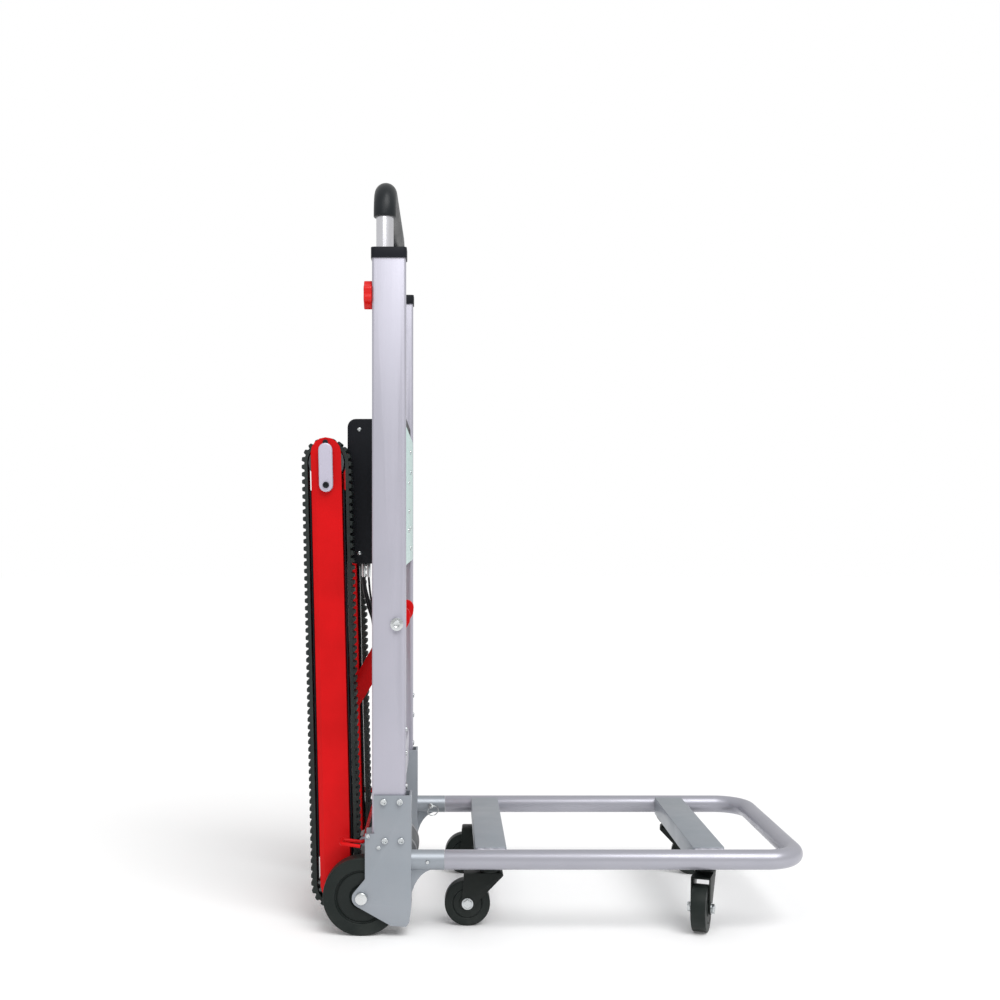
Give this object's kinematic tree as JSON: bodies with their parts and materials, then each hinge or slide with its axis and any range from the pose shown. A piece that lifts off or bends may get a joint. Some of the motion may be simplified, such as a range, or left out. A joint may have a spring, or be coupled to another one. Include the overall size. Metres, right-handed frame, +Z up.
{
  "type": "stair-climbing hand truck",
  "caption": "Motorised stair-climbing hand truck with swing-out crawler tracks, telescopic handle, battery case and a tube platform on swivel casters.",
  "frame": {"origin": "on the floor, under the middle of the truck's length and width", "axes": "+X towards the platform's front, +Y across the truck to its right-hand side, +Z up"},
  "size_m": [0.8289, 0.4606, 1.2237],
  "materials": {
    "upright_silver": "satin anodised",
    "bracket_silver": "satin silver-grey paint",
    "bright_tube": "polished",
    "zinc": "bright zinc plate",
    "machined_steel": "ground",
    "pulley_alloy": "machined",
    "cast_alloy": "as cast",
    "motor_grey": "satin paint",
    "track_red": "semi-gloss powder coat",
    "knob_red": "moulded, glossy",
    "black_plastic": "fine-textured moulding",
    "fork_black": "black powder coat",
    "grip_rubber": "soft ribbed foam rubber",
    "belt_rubber": "matt",
    "wheel_rubber": "semi-matt solid rubber",
    "hub_plastic": "moulded",
    "cable_rubber": "satin sleeve",
    "panel_paint": "pale blue-green paint",
    "cover_silver": "satin silver paint",
    "pack_wrap": "shrink wrap",
    "board_green": "lacquered"
  },
  "bodies": {
    "root": {"upright_left": "upright_silver", "upright_right": "upright_silver", "upright_cap_left": "black_plastic", "upright_cap_right": "black_plastic", "mounting_panel": "panel_paint", "upper_crossbar": "upright_silver", "lower_crossbar": "upright_silver", "wheel_bracket_left": "bracket_silver", "wheel_bracket_right": "bracket_silver", "strut_shaft": "zinc", "wheel_axle_left": "zinc", "wheel_axle_right": "zinc", "battery_case": "black_plastic", "battery_pack": "pack_wrap", "control_board": "board_green", "motor_cable": "cable_rubber", "gearbox": "cast_alloy", "motor": "motor_grey", "platform_tube": "bracket_silver", "rear_channel": "bracket_silver", "front_channel": "bracket_silver", "caster_plate_rear_left": "fork_black", "caster_plate_rear_right": "fork_black", "caster_plate_front_left": "fork_black", "caster_plate_front_right": "fork_black"},
    "handle": {"handle_tube": "bright_tube", "handle_grip": "grip_rubber"},
    "track": {"track_outer_plate_left": "track_red", "track_outer_plate_right": "track_red", "track_inner_plate_left": "track_red", "track_inner_plate_right": "track_red", "track_belt_left": "belt_rubber", "track_belt_right": "belt_rubber", "tension_cover_left": "cover_silver", "tension_cover_right": "cover_silver", "track_cross_tube": "track_red"},
    "drive_axle": {"drive_shaft": "machined_steel", "drive_sprocket_left": "pulley_alloy", "drive_sprocket_right": "pulley_alloy"},
    "strut": {"strut_frame": "track_red"},
    "pedal": {"foot_pedal": "track_red"},
    "switch": {"power_switch": "knob_red"},
    "knob_left": {"clamp_knob_left": "knob_red"},
    "wheel_left": {"wheel_tyre_left": "wheel_rubber", "wheel_hub_left": "hub_plastic"},
    "idler_left": {"idler_pulley_left": "pulley_alloy"},
    "lock_pin_body_left": {"lock_pin_left": "zinc"},
    "knob_right": {"clamp_knob_right": "knob_red"},
    "wheel_right": {"wheel_tyre_right": "wheel_rubber", "wheel_hub_right": "hub_plastic"},
    "idler_right": {"idler_pulley_right": "pulley_alloy"},
    "lock_pin_body_right": {"lock_pin_right": "zinc"},
    "caster_swivel_rear_left": {"caster_fork_rear_left": "fork_black"},
    "caster_roll_rear_left": {"caster_wheel_rear_left": "wheel_rubber"},
    "caster_swivel_rear_right": {"caster_fork_rear_right": "fork_black"},
    "caster_roll_rear_right": {"caster_wheel_rear_right": "wheel_rubber"},
    "caster_swivel_front_left": {"caster_fork_front_left": "fork_black"},
    "caster_roll_front_left": {"caster_wheel_front_left": "wheel_rubber"},
    "caster_swivel_front_right": {"caster_fork_front_right": "fork_black"},
    "caster_roll_front_right": {"caster_wheel_front_right": "wheel_rubber"}
  },
  "joints": [
    {"name": "handle_slide", "type": "slide", "parent": "root", "child": "handle", "axis": [0, 0, 1], "range_m": [-0.045, 0.3]},
    {"name": "track_swing", "type": "hinge", "parent": "root", "child": "track", "pos_m": [-0.3575, 0, 0.0665], "axis": [0, -1, 0], "range_deg": [0, 8]},
    {"name": "drive_spin", "type": "hinge", "parent": "root", "child": "drive_axle", "pos_m": [-0.3575, 0, 0.0665], "axis": [0, 1, 0], "continuous": true},
    {"name": "strut_swing", "type": "hinge", "parent": "root", "child": "strut", "pos_m": [-0.2545, 0, 0.501], "axis": [0, 1, 0], "range_deg": [0, 13]},
    {"name": "pedal_press", "type": "hinge", "parent": "root", "child": "pedal", "pos_m": [-0.3105, 0, 0.144], "axis": [0, -1, 0], "range_deg": [0, 15], "stiffness_Nm_per_rad": 3, "springref_deg": -8.59},
    {"name": "switch_press", "type": "slide", "parent": "root", "child": "switch", "axis": [1, 0, 0], "range_m": [0, 0.003], "stiffness_N_per_m": 500, "springref_m": -0.002},
    {"name": "knob_left_turn", "type": "hinge", "parent": "root", "child": "knob_left", "pos_m": [-0.2948, -0.2037, 1.031], "axis": [-1, 0, 0], "range_deg": [-180, 180]},
    {"name": "wheel_left_spin", "type": "hinge", "parent": "root", "child": "wheel_left", "pos_m": [-0.3115, -0.2037, 0.0625], "axis": [0, 1, 0], "continuous": true},
    {"name": "idler_left_spin", "type": "hinge", "parent": "track", "child": "idler_left", "pos_m": [-0.3735, -0.143, 0.76332], "axis": [0, 1, 0], "continuous": true},
    {"name": "lock_pin_left_pull", "type": "slide", "parent": "root", "child": "lock_pin_body_left", "axis": [0, 1, 0], "range_m": [0, 0.05]},
    {"name": "knob_right_turn", "type": "hinge", "parent": "root", "child": "knob_right", "pos_m": [-0.2948, 0.2037, 1.031], "axis": [-1, 0, 0], "range_deg": [-180, 180]},
    {"name": "wheel_right_spin", "type": "hinge", "parent": "root", "child": "wheel_right", "pos_m": [-0.3115, 0.2037, 0.0625], "axis": [0, 1, 0], "continuous": true},
    {"name": "idler_right_spin", "type": "hinge", "parent": "track", "child": "idler_right", "pos_m": [-0.3735, 0.143, 0.76332], "axis": [0, 1, 0], "continuous": true},
    {"name": "lock_pin_right_pull", "type": "slide", "parent": "root", "child": "lock_pin_body_right", "axis": [0, -1, 0], "range_m": [0, 0.05]},
    {"name": "caster_rear_left_swivel", "type": "hinge", "parent": "root", "child": "caster_swivel_rear_left", "pos_m": [-0.1025, -0.155, 0.093], "axis": [0, 0, 1], "continuous": true},
    {"name": "caster_rear_left_spin", "type": "hinge", "parent": "caster_swivel_rear_left", "child": "caster_roll_rear_left", "pos_m": [-0.1405, -0.155, 0.0375], "axis": [0, 1, 0], "continuous": true},
    {"name": "caster_rear_right_swivel", "type": "hinge", "parent": "root", "child": "caster_swivel_rear_right", "pos_m": [-0.1025, 0.155, 0.093], "axis": [0, 0, 1], "continuous": true},
    {"name": "caster_rear_right_spin", "type": "hinge", "parent": "caster_swivel_rear_right", "child": "caster_roll_rear_right", "pos_m": [-0.1405, 0.155, 0.0375], "axis": [0, 1, 0], "continuous": true},
    {"name": "caster_front_left_swivel", "type": "hinge", "parent": "root", "child": "caster_swivel_front_left", "pos_m": [0.2525, -0.155, 0.093], "axis": [0, 0, 1], "continuous": true},
    {"name": "caster_front_left_spin", "type": "hinge", "parent": "caster_swivel_front_left", "child": "caster_roll_front_left", "pos_m": [0.2395, -0.19071, 0.0375], "axis": [-0.9397, 0.342, 0], "continuous": true},
    {"name": "caster_front_right_swivel", "type": "hinge", "parent": "root", "child": "caster_swivel_front_right", "pos_m": [0.2525, 0.155, 0.093], "axis": [0, 0, 1], "continuous": true},
    {"name": "caster_front_right_spin", "type": "hinge", "parent": "caster_swivel_front_right", "child": "caster_roll_front_right", "pos_m": [0.28992, 0.1484, 0.0375], "axis": [-0.1736, -0.9848, 0], "continuous": true}
  ],
  "couplings": [
    {"joint": "strut_swing", "follows": "track_swing", "ratio": 1.6},
    {"joint": "idler_left_spin", "follows": "drive_spin", "ratio": 1},
    {"joint": "idler_right_spin", "follows": "drive_spin", "ratio": 1}
  ]
}
